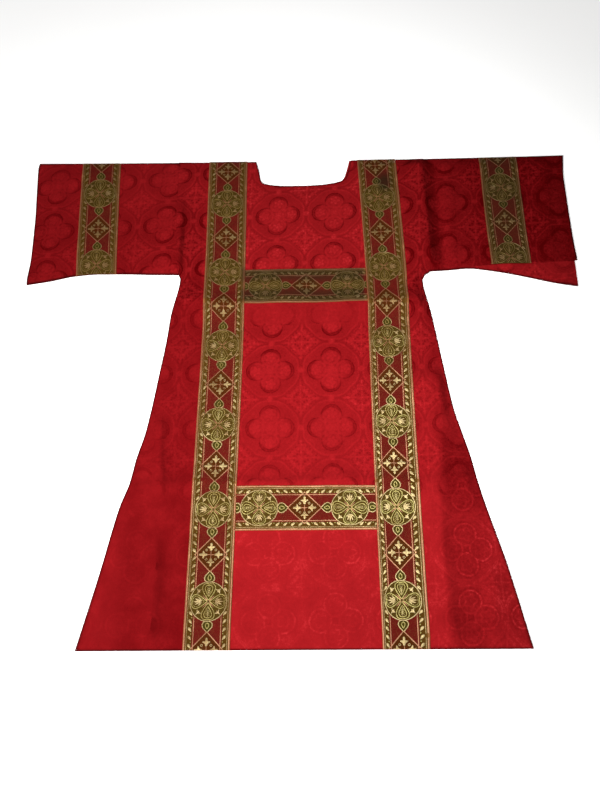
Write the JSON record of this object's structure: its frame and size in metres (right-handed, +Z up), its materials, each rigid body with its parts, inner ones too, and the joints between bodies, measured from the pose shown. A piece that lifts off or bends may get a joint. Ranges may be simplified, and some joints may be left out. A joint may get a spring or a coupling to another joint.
{
  "type": "dalmatic",
  "caption": "Wide-sleeved T-shaped vestment of red damask with gold woven bands, laid out flat face up, its folds pressed in.",
  "frame": {"origin": "bottom centre of the bounding box: the middle of the laid-out garment, on the surface that it rests on", "axes": "+X across the garment, from the cuff of its own right sleeve to that of its left sleeve (left to right as it is seen face up); +Y from the hem towards the neck; +Z up, from the back to the front of the garment"},
  "size_m": [1.3714, 1.2338, 0.0213],
  "materials": {
    "damask": "silk damask, satin ground",
    "galloon": "woven band with gold thread"
  },
  "bodies": {
    "root": {"front": "damask", "back": "damask", "sleeve_left": "damask", "sleeve_right": "damask", "clavus_left": "galloon", "clavus_right": "galloon", "crossbar_upper": "galloon", "crossbar_lower": "galloon", "sleeve_band_left": "galloon", "sleeve_band_right": "galloon"}
  },
  "joints": []
}
